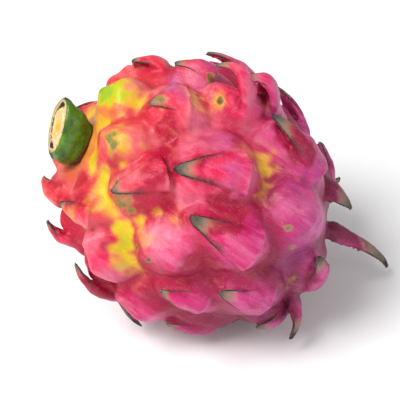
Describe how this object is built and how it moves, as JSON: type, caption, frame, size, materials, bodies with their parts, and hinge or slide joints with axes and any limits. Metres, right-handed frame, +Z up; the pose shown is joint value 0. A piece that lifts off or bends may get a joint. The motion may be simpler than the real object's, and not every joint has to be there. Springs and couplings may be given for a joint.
{
  "type": "dragon fruit",
  "caption": "Whole red dragon fruit lying on its side, with pink leathery bracts, a cut chunk of green stem and a withered flower base in its navel.",
  "frame": {"origin": "a point on the small flat spot that the fruit rests on, under its middle", "axes": "+Z up from the surface; the stem end points to -X and upwards, the flower end to +X and downwards"},
  "size_m": [0.1464, 0.1153, 0.1198],
  "materials": {
    "pink_rind": "waxy pink rind, yellow-green between the bracts near the stem, magenta with a pale bloom towards the flower",
    "green_stem": "glossy green cactus skin with a beige cut face",
    "withered_flower": "dry tan-brown flower remains"
  },
  "bodies": {
    "root": {"dragon_fruit": "pink_rind", "stem_stub": "green_stem", "flower_base": "withered_flower"}
  },
  "joints": []
}
